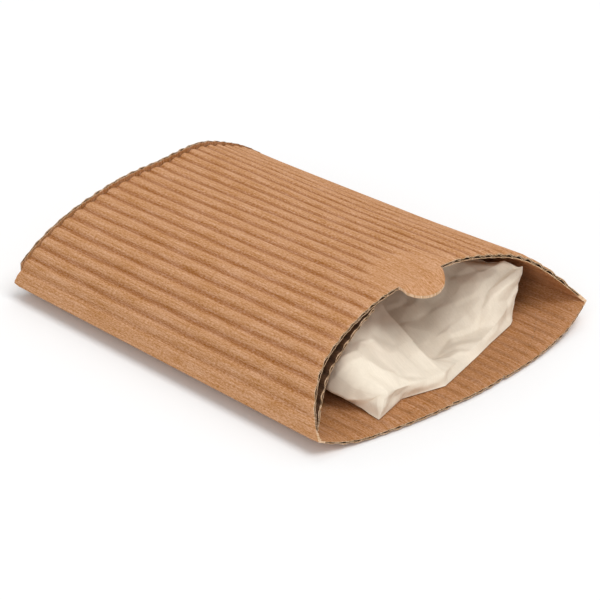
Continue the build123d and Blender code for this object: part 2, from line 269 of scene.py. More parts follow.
class PillowBoxView(bpy.types.PropertyGroup):
    """The camera and lamps."""

    azimuth: turn("Azimuth", -44.44, "Angle round the box")
    elevation: turn("Elevation", 27.51, "Angle above the horizon")
    distance: length("Distance", 539.5, "From the camera to the middle of the box")
    lens: bpy.props.FloatProperty(name="Lens", default=139.76, description="Focal length in millimetres")
    aim_right: length("Aim right", 0.616, "How far right of the middle the camera looks")
    aim_up: length("Aim up", -1.327, "How far above the creases the camera looks")
    sun: bpy.props.FloatProperty(name="Lamp", default=0.57, description="Strength of the soft lamp")
    sky: bpy.props.FloatProperty(name="Surround", default=0.5, description="Strength of the even light")


def arch_spans(half_span, rise, turns):
    """Spans of a three-centre arch, as (length, radius) of its crown and of its shoulder.

    The two radii are those that carry the arch from its crown to half_span out and rise
    down while its slope turns by the first angle on the crown and by the second in all.
    """
    crown_turn, foot_turn = map(math.radians, turns)
    a, b = math.sin(crown_turn), math.sin(foot_turn) - math.sin(crown_turn)
    c, d = 1 - math.cos(crown_turn), math.cos(crown_turn) - math.cos(foot_turn)
    crown_radius = (half_span * d - rise * b) / (a * d - b * c)
    shoulder_radius = (a * rise - c * half_span) / (a * d - b * c)
    turned = ((crown_radius, crown_turn), (shoulder_radius, foot_turn - crown_turn))
    return [(radius * angle, radius) for radius, angle in turned]


class Strip:
    """A symmetric line of board seen edge on, walked by arc length from its middle."""

    def __init__(self, spans, level, side):
        self.spans = spans
        self.level = level
        self.side = side
        self.half = sum(span[0] for span in spans)

    def at(self, s, offset=0.0):
        """Places at arc lengths s, moved by offset towards the outer face.

        Along each span the slope turns by length over radius, and the place moves by the
        radius times the change in the slope's sine and cosine.
        """
        left = np.abs(s)
        x, z, slope = np.zeros_like(left), np.zeros_like(left), np.zeros_like(left)
        for span, radius in self.spans:
            walked = np.minimum(left, span)
            left = left - walked
            if radius is None:
                x = x + walked
                continue
            end = slope + walked / radius
            x = x + radius * (np.sin(end) - np.sin(slope))
            z = z + radius * (np.cos(end) - np.cos(slope))
            slope = end
        x = x + left * np.cos(slope) + offset * np.sin(slope)
        z = z - left * np.sin(slope) + offset * np.cos(slope)
        return np.where(s < 0, -x, x), self.level + self.side * z

    def read(self, x, samples, offset=0.0):
        """How far up the offset line lies at each x, read between sampled points."""
        return np.interp(np.abs(x), *self.at(np.linspace(0, self.half, samples), offset))


def step(value, start, reach):
    """A smooth step: 0 up to start and 1 from a reach further, with no slope at either."""
    t = np.clip((value - start) / reach, 0, 1)
    return t * t * (3 - 2 * t)


def bell(distance, width):
    """A bell of the distance: the exponential of minus the square of its share of the width."""
    return np.exp(-((distance / width) ** 2))


class Box:
    """The curves and edges of the box, worked out once from its sizes."""

    def __init__(self, scene):
        self.sizes = sizes = scene.pillow_box_sizes
        self.half_width, half_length = sizes.width / 2, sizes.length / 2
        self.front_tip, self.back_tip = -half_length, half_length
        self.half_board = sizes.board / 2
        level = self.half_board + FLOOR_GAP
        run, rise = self.half_width - sizes.flat / 2, sizes.crease_height - level
        radius = (run**2 + rise**2) / (2 * rise)
        self.bottom_turn = math.asin(run / radius)
        self.foot_turn = math.radians(TOP_TURNS[1])
        top = arch_spans(self.half_width, sizes.rise, TOP_TURNS)
        front = arch_spans(self.half_width, sizes.front_cut, FRONT_TURNS)
        back = arch_spans(self.half_width, sizes.back_cut, BACK_TURNS)
        self.top = Strip(top, sizes.crease_height + sizes.rise, 1)
        self.bottom = Strip([(sizes.flat / 2, None), (radius * self.bottom_turn, radius)], level, -1)
        self.front_curve = Strip(front, self.front_tip + sizes.front_cut, 1)
        self.back_curve = Strip([(span, -r) for span, r in back], self.back_tip - sizes.back_cut, 1)
        self.score = self.front_tip + sizes.front_cut + sizes.setback
        self.top_end = self.top.half - LAYERS_END
        self.bottom_end = self.bottom.half - LAYERS_END
        self.tab_y = self.front_tip + sizes.front_cut + sizes.tab_offset

    def tongue(self, x):
        """The front flap's edge, which is the apron's where that lies further back."""
        return np.maximum(self.flap(x), self.apron(x))

    def slit(self, x):
        """The front edge of the ears' inner side, just clear of the flap and of the apron."""
        return np.maximum(self.flap(x) - SLIT, self.apron(x) + 2 * SLIT)

    def score_line(self, x):
        """The straight line that the front flap folds on."""
        return np.full_like(x, self.score)

    def rib_places(self, start, end):
        """Arc lengths of the grid's lines, fine enough for the ribs."""
        count = int(round(abs(end - start) / (self.sizes.pitch / RIB_SAMPLES)))
        return np.linspace(start, end, max(2, count + 1))

    def front(self, x):
        """The top panel's front edge."""
        return self.front_curve.read(x, CUT_SAMPLES)

    def back(self, x):
        """The back edge of both panels, with the corner at each tip rounded."""
        inset = np.clip(np.abs(x) - (self.half_width + TIP_OUT - TIP_CORNER), 0, TIP_CORNER)
        rounded = self.back_tip - TIP_CORNER + np.sqrt(TIP_CORNER**2 - inset**2)
        return np.minimum(self.back_curve.read(x, CUT_SAMPLES) + self.skew(x), rounded)

    def skew(self, x):
        """How far the back edges stand further back, a smooth step up and one down over the far half."""
        return self.sizes.back_skew * step(x, *SKEW_RISE) * (1 - step(x, *SKEW_FALL))

    def arc(self, x, half, drop, front):
        """An arc of a circle, half wide each way and drop deep, whose middle lies at front."""
        radius = (half**2 + drop**2) / (2 * drop)
        return front + radius - np.sqrt(radius**2 - np.minimum(np.abs(x), half) ** 2)

    def apron(self, x):
        """The bottom's free front edge, an arc through both tips."""
        return self.arc(x, self.half_width, self.sizes.apron, self.front_tip - self.sizes.apron)

    def flap(self, x):
        """The front flap's outline, an arc through the ends of its straight sides."""
        sizes = self.sizes
        drop = sizes.flap_length - sizes.flap_side
        return self.arc(x, sizes.flap_half, drop, self.score - sizes.flap_length)

    def bottom_place(self, x):
        """Arc length on the bottom strip at a given x."""
        s = np.linspace(0, self.bottom.half, CURVE_SAMPLES)
        return float(np.interp(x, self.bottom.at(s)[0], s))

    def ear_start(self):
        """The x at which the front flap's outline leaves the apron's."""
        x = np.linspace(0, self.sizes.flap_half, CURVE_SAMPLES)
        return float(x[np.argmax(self.flap(x) > self.apron(x) + EAR_START)])

    def from_tab(self, x, y):
        """Distance from the tab's centre, seen from above."""
        return np.hypot(x - self.sizes.tab_shift, y - self.tab_y)

    def settle(self, x, y, z):
        """Height after the open arch has settled.

        What stands above the creases sinks by a share that grows evenly from the open
        front to the closed back and smoothly from the near side to the far one, stands up
        again in a bell round the back peak and dips in one round the tab.
        """
        above = np.maximum(z - self.sizes.crease_height, 0)
        start, reach = SETTLE_RUN
        share = np.clip((y - start) / reach, 0, 1) * self.sizes.settle
        share = share * (NEAR_SETTLE + (1 - NEAR_SETTLE) * step(x, *SETTLE_SIDE))
        peak = self.sizes.back_peak * bell(x - PEAK_PLACE, PEAK_WIDTH) * step(y, *PEAK_RUN)
        dent = self.sizes.tab_dent * bell(self.from_tab(x, y), DENT_WIDTH)
        return z + (above > 0) * peak - above * share - (above > DENT_FLOOR) * dent

    def lift(self, x, y):
        """How far the board rises towards the far front tip, the product of two smooth steps."""
        return self.sizes.tip_lift * step(x, *LIFT_SIDE) * step(-y, *LIFT_RUN)

    def pressed(self, strip, s, x, y):
        """Thickness of the board as a share of its full one, and how much of the ribs is left.

        Both fall smoothly towards each crease, and on the top panel round the thumb tab.
        """
        near = step(np.abs(s), strip.half - CREASE_PRESS, CREASE_PRESS)
        close = step(np.abs(s), strip.half - CREASE_BARE, CREASE_BARE)
        thick, ribs = 1 - CREASE_THIN * near**THIN_POWER, (1 - CREASE_THIN * near) * (1 - close)
        if strip is self.top:
            away = self.from_tab(x, y)
            thick = thick * (1 - TAB_THIN * (1 - step(away, *TAB_PRESSED)))
            ribs = ribs * step(away, *TAB_BARE)
        return thick, ribs


def crest(layer, s, pitch):
    """Height of a layer's ribs, -1 to 1, as one minus twice a power of the sine."""
    return 1 - 2 * np.abs(np.sin(np.pi * s / pitch)) ** LAYERS[layer].power


def rib_light(wave, ribs):
    """The ribs as a share for the painted shade, 1 on a crest and on bare board and 0 in a full valley,
    where the colour is darkest.
    """
    return 1 - ribs * (1 - wave) / 2


def unevenness(s, y):
    """Slow handmade unevenness of the ribs, a sum of a few long waves, about -1 to 1."""
    return sum(size * np.sin((p * s + q * y) / MM + start) for size, p, q, start in UNEVEN_WAVES)


def ragged(s, depth, seed):
    """Small unevenness of a cut end, a sum of short waves along the cut."""
    return depth * sum(size * np.sin(p * s / MM + share * seed) for size, p, share in RAGGED_WAVES)


def torn(layer, x, seed):
    """How far one layer's cut end stands out at each x, or 0 at a fold, which has no seed."""
    return 0.0 if seed is None else ragged(x, LAYERS[layer].ragged, LAYERS[layer].seed + seed)


def quads(a, b, c, d):
    """Faces from four arrays of corners."""
    return np.stack([a.ravel(), b.ravel(), c.ravel(), d.ravel()], -1)


def join_shells(shells):
    """Joins shells into flat arrays: places, faces, face kinds, ribs and plans.

    Each shell has an outer and an inner grid of the same shape.  The faces run over the
    outer grid, back over the inner one and round the four rims, which are kind 1.  A shell
    whose signed volume comes out below zero has its faces turned round.
    """
    joined, start = [], 0
    for shell in shells:
        n, m = shell["outer"].shape[:2]
        top = np.arange(n * m).reshape(n, m)
        low = top + n * m
        surface = quads(top[:-1, :-1], top[1:, :-1], top[1:, 1:], top[:-1, 1:])
        lining = quads(low[:-1, :-1], low[:-1, 1:], low[1:, 1:], low[1:, :-1])
        rims = (
            quads(top[:-1, 0], low[:-1, 0], low[1:, 0], top[1:, 0]),
            quads(top[1:, -1], low[1:, -1], low[:-1, -1], top[:-1, -1]),
            quads(top[0, 1:], low[0, 1:], low[0, :-1], top[0, :-1]),
            quads(top[-1, :-1], low[-1, :-1], low[-1, 1:], top[-1, 1:]),
        )
        points = np.concatenate([shell["outer"].reshape(-1, 3), shell["inner"].reshape(-1, 3)])
        faces = np.concatenate([surface, lining, *rims])
        p = points[faces]
        volume = np.einsum("ij,ij->", p[:, 0], np.cross(p[:, 1], p[:, 2]) + np.cross(p[:, 2], p[:, 3]))
        faces = faces[:, ::-1] if volume < 0 else faces
        kinds = np.repeat([0, 2, 1], [len(surface), len(lining), sum(map(len, rims))])
        ribs = np.tile(np.broadcast_to(shell["crest"], (n, m)).ravel(), 2)
        plans = np.tile(shell["plan"].reshape(-1, 2), (2, 1))
        joined.append((points, faces + start, kinds, ribs, plans))
        start += len(points)
    return [np.concatenate(part) for part in zip(*joined)]


def make_piece(name, shells, papers=SOLID_PAPERS, body="box", creased=SHARP):
    """Makes one object of closed shells that rides on a body and stands for the node of that name.

    The outer faces take the first of the papers, the cut rims the second and the inner faces the third.
    The sheet's own arc length and Y go into the UV map. The share that sets painted shade in the colour
    goes into the attribute named crest: low in the ribs' valleys, and on the tissue low on its sunken
    facets.
    """
    places, faces, kinds, ribs, plans = join_shells(shells)
    mesh = bpy.data.meshes.new(name + "_look")
    mesh.from_pydata(places.tolist(), [], faces.tolist())
    # The crest attribute paints shade into the colour: darker in the ribs' valleys, and on the tissue
    # darker on low facets and lighter on raised ones.
    mesh.attributes.new("crest", "FLOAT", "POINT").data.foreach_set("value", ribs.astype(np.float32))
    uv = mesh.uv_layers.new(name="sheet")
    uv.data.foreach_set("uv", (plans[faces.ravel()] * UV_SCALE).astype(np.float32).ravel())
    for name_of_paper in papers:
        mesh.materials.append(paper(name_of_paper))
    mesh.polygons.foreach_set("material_index", kinds.astype(np.int32))
    mesh.shade_smooth()
    mesh.set_sharp_from_angle(angle=math.radians(creased))
    mesh.validate()
    piece = bpy.data.objects.new(name + "_look", mesh)
    bpy.context.scene.collection.objects.link(piece)
    if body:
        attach(piece, body)
    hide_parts(name)
    return piece


def make_layer(panel, layer, shells, body="box", outer=()):
    """Makes one layer of a panel, with another paper outside where one is given."""
    papers = (*outer, *LAYERS[layer].papers[len(outer):])
    return make_piece(f"{panel}_{layer}", shells, papers, body)


def board_offsets(sizes, layer, lap=False):
    """Outer and inner (crest level, crest to valley) of one layer of the board or of the thinner lap."""
    half = (sizes.lap_board if lap else sizes.board) / 2
    liner, fluting = (size * (LAP_THIN if lap else 1.0) for size in (sizes.liner, sizes.fluting))
    rib, hidden = sizes.rib * (LAP_RIBS if lap else 1.0), RIPPLE_BACK * sizes.ripple
    crown = half - liner - GLUE_FILM
    swing = 2 * crown - fluting
    return {
        "outer_liner": ((half, rib), (half - liner, rib)),
        "fluting": ((crown, swing), (crown - fluting, swing)),
        "inner_liner": ((liner - half + hidden, hidden), (sizes.ripple - half, sizes.ripple)),
    }[layer]


def layer_offset(layer, top, swing, wave, thick, ribs):
    """Offset of a layer's face: its crest level less half its swing times one less the wave.

    The level shrinks with the pressed board, the swing of the liners with the ribs left,
    and the fluting's swing with the board.
    """
    if layer == "fluting":
        return thick * (top - swing / 2 * (1 - wave))
    if layer == "outer_liner":
        return thick * top - ribs * swing / 2 * (1 - wave)
    return thick * (top - swing) + ribs * swing / 2 * (1 + wave)


def rows_between(front, back, rows, power=ROW_POWER):
    """Rows of places from one edge to the other, a power of evenly spaced shares of the way."""
    return front[:, None] + (back - front)[:, None] * np.linspace(0, 1, rows) ** power


def board_grid(box, strip, s, y, free=0.0, flatten=0.0):
    """Arc lengths of a grid, its thickness and its ribs, crushed by a share along its free edge."""
    grid = np.broadcast_to(s[:, None], y.shape)
    thick, ribs = box.pressed(strip, grid, np.broadcast_to(strip.at(s)[0][:, None], y.shape), y)
    edge = flatten * (1 - step(y, free, CUT_REACH))
    return grid, thick * (1 - edge), ribs * (1 - edge)


def place(box, strip, s, y, offset):
    """A grid of places on a strip, moved out by its offsets, settled over the top and lifted."""
    x, z = strip.at(s, offset)
    z = box.settle(x, y, z) if strip is box.top else z
    return np.stack([x, y, z + box.lift(x, y)], -1)


def closed(outer, inner, ribs, s, y):
    """A shell of two grids, with its ribs as shares and its plan of arc length by Y."""
    return {"outer": outer, "inner": inner, "crest": ribs, "plan": np.stack([s, y], -1)}


def panel_shell(box, part, s, front, back, layer, shift=None, inset=(0.0, 0.0)):
    """One layer of a part of the panels as a shell on a grid of arc length by Y.

    A point lies on the part's arch at its arc length, moved along the normal by the
    layer's offset there, which the unevenness varies on the outer liner.  Y runs from the
    front edge to the back edge at that point's x.
    """
    rows, fluting_rows, front_seed, back_seed, crushed = PARTS[part]
    strip, recess = (box.top, LAYERS[layer].recess) if part in ("top", "lap") else (box.bottom, 0.0)
    x0, _ = strip.at(s)
    y0 = front(x0) + torn(layer, x0, front_seed) + inset[0] + recess
    y1 = back(x0) - torn(layer, x0, back_seed) - inset[1] - recess
    y = rows_between(y0, y1, fluting_rows if layer == "fluting" else rows)
    free = y[:, :1] if strip is box.top else box.apron(x0)[:, None]
    grid, thick, ribs = board_grid(box, strip, s, y, free, crushed)
    wave = crest(layer, grid, box.sizes.pitch)
    uneven = 1 + RIB_UNEVEN * unevenness(grid, y) if layer == "outer_liner" else 1.0
    moved = shift(grid, thick) if shift else 0.0
    faces = [
        place(box, strip, grid, y, layer_offset(layer, top, swing, wave * uneven, thick, ribs) + moved)
        for top, swing in board_offsets(box.sizes, layer, part == "lap")
    ]
    return closed(*faces, rib_light(wave, ribs), grid, y)


class PILLOWBOX_OT_top_panel(bpy.types.Operator):
    """Builds the three layers of the arched top panel"""

    bl_idname = "pillow_box.top_panel"
    bl_label = "Top Panel"

    def execute(self, context):
        """Each layer spans the arch between the two creases."""
        box = Box(context.scene)
        s = box.rib_places(-box.top_end, box.top_end)
        for layer in LAYERS:
            make_layer("top_panel", layer, [panel_shell(box, "top", s, box.front, box.back, layer)])
        return {"FINISHED"}


class PILLOWBOX_OT_bottom_panel(bpy.types.Operator):
    """Builds the three layers of the bottom panel with its two front ears"""

    bl_idname = "pillow_box.bottom_panel"
    bl_label = "Bottom Panel"

    def execute(self, context):
        """The panel runs back from the score, and an ear stands on each side of the front flap."""
        box = Box(context.scene)
        flap_end = box.bottom_place(box.sizes.flap_half)
        ear = box.rib_places(box.bottom_place(box.ear_start()), flap_end)
        root = box.rib_places(flap_end + SLIT, box.bottom_end)
        s = box.rib_places(-box.bottom_end, box.bottom_end)
        for layer in LAYERS:
            shells = [panel_shell(box, "bottom", s, box.score_line, box.back, layer)]
            for side in (-1, 1):
                shells.append(panel_shell(box, "ear", ear * side, box.apron, box.slit, layer))
                shells.append(panel_shell(box, "root", root * side, box.apron, box.score_line, layer))
            make_layer("bottom_panel", layer, shells)
        return {"FINISHED"}


class PILLOWBOX_OT_front_flap(bpy.types.Operator):
    """Builds the three layers of the front flap, which folds up on a straight score"""

    bl_idname = "pillow_box.front_flap"
    bl_label = "Front Flap"

    def execute(self, context):
        """The flap is the tongue of the bottom panel in front of the score."""
        box = Box(context.scene)
        flap_end = box.bottom_place(box.sizes.flap_half)
        s = box.rib_places(-flap_end, flap_end)
        for layer in LAYERS:
            shell = panel_shell(box, "tongue", s, box.tongue, box.score_line, layer)
            piece = make_layer("front_flap", layer, [shell], body=None)
            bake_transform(piece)
        return {"FINISHED"}


class PILLOWBOX_OT_back_flap(bpy.types.Operator):
    """Builds the three layers of the curved back flap"""

    bl_idname = "pillow_box.back_flap"
    bl_label = "Back Flap"

    def execute(self, context):
        """The flap is a wall along the back cut, from the bottom panel to just over the top one."""
        box = Box(context.scene)
        sizes = box.sizes
        end = WALL_RIBS * sizes.pitch
        s = box.rib_places(-end, end)
        x0, y0 = box.back_curve.at(s, WALL_GAP + box.half_board)
        foot = box.bottom.read(x0, LINE_SAMPLES, box.half_board - WALL_FOOT)
        top = box.settle(x0, y0, box.top.read(x0, LINE_SAMPLES, box.half_board))
        top = top + WALL_PROUD * (1 - step(np.abs(s) / end, *WALL_MIDDLE))
        for layer in LAYERS:
            rim = top + torn(layer, x0, 4) - LAYERS[layer].recess / 2
            z = rows_between(foot, rim, WALL_ROWS, 1)
            grid = np.broadcast_to(s[:, None], z.shape)
            side = step(np.abs(grid) / end, *WALL_SIDE)
            high = step(z, rim[:, None] - WALL_RIM, WALL_RIM)
            thick = (1 - WALL_THIN[0] * side) * (1 - WALL_THIN[1] * high)
            ribs = (1 - side) * (1 - WALL_BARE * high)
            wave = crest(layer, grid, sizes.pitch)
            faces = []
            for level, swing in board_offsets(sizes, layer):
                offset = layer_offset(layer, level, swing, wave, thick, ribs)
                x, y = box.back_curve.at(grid, WALL_GAP + thick * box.half_board + offset)
                faces.append(np.stack([x, y + box.skew(x), z], -1))
            shell = closed(*faces, rib_light(wave, ribs), grid, z)
            piece = make_layer("back_flap", layer, [shell], body=None)
            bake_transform(piece)
        return {"FINISHED"}


class PILLOWBOX_OT_creases(bpy.types.Operator):
    """Builds the pressed board that turns round each side crease"""

    bl_idname = "pillow_box.creases"
    bl_label = "Side Creases"

    def execute(self, context):
        """The outline runs down the top arch, round the crease and along the bottom arch."""
        box = Box(context.scene)
        for side, name in ((-1, "near_side_crease"), (1, "far_side_crease")):
            make_piece(name, [crease_shell(box, side)], creased=CREASE_SHARP)
        return {"FINISHED"}


def crease_legs(box, side):
    """The board beside one crease, on the top arch and on the bottom one.

    A point lies on its panel's arch, out along the normal by the pressed board's outer
    offset.  The lining ends short of the crease, by the tangent of half the turn between
    the arches times its depth and fillet.  Returns each leg's arc lengths, Y, outer
    offsets, ribs as shares, outer grid and lining.
    """
    sizes = box.sizes
    outer, inner = board_offsets(sizes, "outer_liner")[0], board_offsets(sizes, "inner_liner")[1]
    legs, short = [], None
    arches = ((box.top, box.top_end, box.front), (box.bottom, box.bottom_end, box.apron))
    for strip, start, front in arches:
        low = float(strip is box.bottom)
        s = np.linspace(start, strip.half, CREASE_COLUMNS)
        x0, _ = strip.at(s)
        back = box.back(x0) - low * CREASE_DRAW * step(s, start, strip.half - start)
        y = rows_between(front(x0) + torn("outer_liner", x0 * side, 0), back, CREASE_ROWS)
        grid, thick, ribs = board_grid(box, strip, s, y, y[:, :1], low * PRESSED_CUT)
        wave = crest("outer_liner", grid, sizes.pitch)
        uneven = 1 + RIB_UNEVEN * unevenness(grid * side, y)
        out = layer_offset("outer_liner", *outer, wave * uneven, thick, ribs)
        lining = layer_offset("inner_liner", *inner, wave, thick, ribs)
        if short is None:
            short = (FILLET - lining[-1].mean()) * math.tan((box.foot_turn + box.bottom_turn) / 2)
        faces = []
        for places, offset in ((grid, out), (np.minimum(grid, strip.half - short), lining)):
            x, z = strip.at(places, offset)
            faces.append(np.stack([x, y, z], -1))
        legs.append((grid, y, out, rib_light(wave, ribs), *faces))
    return legs


def crease_shell(box, side):
    """The board round one crease: top leg, nose and bottom leg as one shell.

    The nose is an arc about the crease whose radius goes evenly from the top leg's last
    offset to the bottom leg's.  Its lining goes straight from leg to leg and bulges by the
    fillet times a half wave.
    """
    legs = crease_legs(box, side)
    (s_top, y_top, out_top, ribs_top, *top), (s_low, y_low, out_low, ribs_low, *low) = legs
    mix = np.linspace(0, 1, NOSE_POINTS + 2)[1:-1, None]
    turns = math.pi / 2 - box.foot_turn + (box.foot_turn + box.bottom_turn - math.pi) * mix
    radius = out_top[-1] + (out_low[-1] - out_top[-1]) * mix
    y = y_top[-1] + (y_low[-1] - y_top[-1]) * mix
    arc = (box.half_width + radius * np.cos(turns), y, box.sizes.crease_height + radius * np.sin(turns))
    bulge = FILLET * np.sin(np.pi * mix[..., None]) * np.array(NOSE_BULGE)
    noses = np.stack(arc, -1), top[1][-1] + (low[1][-1] - top[1][-1]) * mix[..., None] + bulge
    faces = []
    for leg, nose, other in zip(top, noses, low):
        x, y_all, z = np.moveaxis(np.concatenate([leg, nose, other[::-1]]), -1, 0)
        x = x * side
        faces.append(np.stack([x, y_all, box.settle(x, y_all, z) + box.lift(x, y_all)], -1))
    round_nose = box.top.half + radius.mean() * (turns[0] - turns)
    s_all = [s_top, np.broadcast_to(round_nose, y.shape), round_nose[-1] + box.bottom.half - s_low[::-1]]
    ribs = np.concatenate([ribs_top, np.ones(y.shape), ribs_low[::-1]])
    return closed(*faces, ribs, np.concatenate(s_all) * side, y_all)


class PILLOWBOX_OT_seam_lap(bpy.types.Operator):
    """Builds the glued seam lap inside the top panel, with its glue line"""

    bl_idname = "pillow_box.seam_lap"
    bl_label = "Seam Lap"

    def execute(self, context):
        """The lap hangs under the top arch and bows away between its root and its glued edge."""
        box = Box(context.scene)
        sizes = box.sizes
        start, stop = LAP_START - box.top.half, -LAP_STOP * sizes.pitch

        def shift(s, thick):
            """How far the lap lies inside the top panel, its bow a power of a half wave."""
            share = np.clip((s - start) / (stop - start), 0, 1)
            bow = sizes.lap_bow * np.sin(np.pi * share**BOW_SHARE) ** BOW_POWER
            return -thick * (box.half_board + sizes.lap_board / 2) - LAP_SEAT - bow

        s = box.rib_places(start, stop)
        for layer in LAYERS:
            shell = panel_shell(box, "lap", s, box.front, box.back, layer, shift, LAP_INSET)
            # The lap's outer face shows only in the narrow gap under the top panel. It takes the
            # darkened fluting paper as painted shade.
            make_layer("seam_lap", layer, [shell], outer=SHADED_FLUTING_PAPERS[:1])
        s = box.rib_places(stop - GLUE_RIBS * sizes.pitch, stop)
        x0, _ = box.top.at(s)
        y = rows_between(box.front(x0) + GLUE_INSET, box.back(x0) - GLUE_INSET, GLUE_ROWS, 1)
        grid, thick, _ = board_grid(box, box.top, s, y)
        uneven = GLUE_UNEVEN * unevenness(grid * GLUE_WAVES, y * GLUE_WAVES)
        faces = [
            place(box, box.top, grid, y, offset + uneven)
            for offset in (-thick * box.half_board, shift(grid, thick) + thick * sizes.lap_board / 2)
        ]
        make_piece("seam_glue_line", [closed(*faces, GLUE_LIGHT, grid, y)], ["glue"] * 3)
        return {"FINISHED"}


class PILLOWBOX_OT_thumb_tab(bpy.types.Operator):
    """Builds the pressed thumb tab on the top panel's front edge"""

    bl_idname = "pillow_box.thumb_tab"
    bl_label = "Thumb Tab"

    def execute(self, context):
        """The tab fills the circle between its rim and the front edge, and droops towards the rim."""
        box = Box(context.scene)
        sizes = box.sizes
        turns = np.linspace(-1, 1, TAB_COLUMNS) * math.radians(TAB_TURN)
        s = sizes.tab_shift + sizes.tab_radius * np.sin(turns)
        x0, _ = box.top.at(s)
        root = box.front(x0) + TAB_ROOT
        reach = np.maximum(root - box.tab_y + sizes.tab_reach * np.cos(turns), TAB_LEAST)
        reach = reach + ragged(x0, TAB_RAGGED, TAB_SEED)
        out = reach[:, None] * np.linspace(1, 0, TAB_ROWS)
        y = root[:, None] - out
        grid, thick, _ = board_grid(box, box.top, s, y)
        rim = 1 - step(reach[:, None] - out, 0, TAB_EDGE)
        half = thick * box.half_board * (1 - TAB_EDGE_THIN * rim)
        bend = sizes.tab_droop * step(out, 0, TAB_BEND)
        droop = np.stack([0 * out, out * (1 - np.cos(bend)), -out * np.sin(bend)], -1)
        faces = [place(box, box.top, grid, y, offset) + droop for offset in (half, -half)]
        make_piece("thumb_tab", [closed(*faces, TAB_LIGHT, grid, y)])
        return {"FINISHED"}


# Corners of the tissue's folds, each as X, Y and Z in millimetres.  A row runs over the left
# floor, left crest, lap, peak's edge, foot of the peak, hollow, slope, right plane, right
# crest and right floor, and the rows run from the front to the back.
TISSUE_NET = """
    -25.3 -47.6 1.8   -25.6 -50.8 1.8   -15.7 -48.1 1.8   -4.9 -50.9 1.8   3.4 -48.7 1.8
    10.4 -46.8 1.8   16.6 -44.9 1.8   26.0 -42.7 2.1   27.6 -41.9 2.3   28.6 -40.9 2.4
    -25.1 -45.4 2.2   -22.4 -49.1 6.0   -14.1 -48.8 4.9   -4.0 -49.4 4.0   3.4 -46.9 3.3
    10.2 -45.4 3.2   16.6 -43.7 3.5   24.6 -42.3 5.4   30.6 -40.3 6.2   29.4 -38.8 2.4
    -24.9 -42.0 2.2   -23.9 -43.6 7.3   -14.6 -44.4 7.1   -4.8 -43.1 7.5   -3.2 -42.2 4.4
    7.0 -41.6 3.7   16.2 -41.2 4.6   22.8 -40.6 7.8   32.4 -39.0 9.0   30.2 -36.4 2.4
    -24.5 -37.0 2.2   -22.6 -38.4 9.2   -14.0 -36.8 10.2   -3.6 -37.3 9.8   -1.6 -36.4 4.6
    7.6 -36.2 4.2   16.8 -37.4 6.4   22.8 -38.1 10.2   33.6 -39.1 13.0   30.6 -33.4 2.4
    -25.0 -30.0 2.2   -21.6 -32.2 11.4   -15.8 -33.6 13.0   -1.6 -27.8 13.2   1.2 -26.8 3.8
    11.0 -28.4 3.8   18.4 -31.4 8.8   24.0 -34.4 13.2   30.0 -36.8 14.4   30.6 -30.0 2.0
    -25.0 -22.0 2.2   -21.6 -22.4 10.6   -13.4 -22.2 12.8   -1.8 -20.8 12.4   3.4 -20.4 5.0
    12.4 -21.8 6.6   18.8 -24.4 12.2   24.2 -27.0 14.6   28.8 -29.6 13.0   30.2 -25.0 2.0
    -26.0 -8.0 2.2   -22.6 -8.2 9.2   -13.2 -8.0 11.6   -2.0 -8.4 12.2   5.4 -8.2 11.4
    12.4 -8.6 11.6   18.8 -9.2 11.4   24.0 -9.8 10.4   27.8 -10.2 8.0   29.2 -10.2 2.0
    -26.0 5.0 2.0   -22.4 6.2 6.2   -13.2 7.6 7.8   -2.0 8.2 8.6   5.6 8.0 8.0
    12.6 7.8 7.8   18.6 7.0 7.2   23.6 6.0 6.2   26.8 5.0 4.6   28.2 3.8 2.0
    -25.2 9.4 1.9   -21.8 10.6 1.9   -13.0 11.2 1.9   -2.2 11.5 1.9   5.4 11.4 1.9
    12.4 11.2 1.9   18.2 10.6 1.9   23.0 9.8 1.9   26.2 8.8 1.9   27.4 7.4 1.9
"""
TISSUE_COLUMNS = 10
TISSUE_STEPS = 17  # points across one fold's plane
TISSUE_THICK = 0.1 * MM
TISSUE_MIDDLE = (1.0, -19.0, 1.65)
TISSUE_TUCK = (0.30, 0.22)  # share of the way to the middle that the rim is turned under
TISSUE_FREE = (1.9 * MM, 2.2 * MM)  # the facets grow to their full height over this height
TISSUE_FACETS = ((5, 13 * MM, 0.17), (8, 4.5 * MM, 0.15))  # seed, spacing, slope
TISSUE_LIGHT = (0.78, 0.22, 0.5 * MM)  # colour in the middle, its change, and the height for that, as painted light and shade: raised facets lighter, hollows darker


def fold_net():
    """The corners of the tissue's planes, a grid of places with a turned-under row all round."""
    net = np.array(TISSUE_NET.split(), float).reshape(-1, TISSUE_COLUMNS, 3)
    middle = np.array(TISSUE_MIDDLE)
    net = np.pad(net, ((1, 1), (1, 1), (0, 0)), mode="edge")
    under = net[:, :, :2] + (middle[:2] - net[:, :, :2]) * np.array(TISSUE_TUCK)
    rim = np.ones(net.shape[:2], bool)
    rim[1:-1, 1:-1] = False
    net[rim, :2] = under[rim]
    net[rim, 2] = middle[2]
    return net * MM


def between(net, axis, steps):
    """Points evenly between neighbouring places of the net along one axis, each a mix of the two."""
    count = net.shape[axis]
    along = np.linspace(0, count - 1, (count - 1) * steps + 1)
    low = np.minimum(along.astype(int), count - 2)
    mix = (along - low).reshape((-1, 1, 1) if axis == 0 else (1, -1, 1))
    return np.take(net, low, axis) * (1 - mix) + np.take(net, low + 1, axis) * mix


def run(grid, axis):
    """Length walked to each point of a grid along one axis, the mean of its lines."""
    steps = np.linalg.norm(np.diff(grid, axis=axis), axis=-1).mean(1 - axis)
    total = np.concatenate([[0], np.cumsum(steps)])
    return np.expand_dims(total, 1 - axis) + np.zeros(grid.shape[:2])


def normals(grid):
    """Unit normals of a grid of points, the cross product of its two slopes."""
    along, across = np.gradient(grid, axis=0), np.gradient(grid, axis=1)
    normal = np.cross(across, along)
    return normal / np.maximum(np.linalg.norm(normal, axis=-1, keepdims=True), 1e-12)


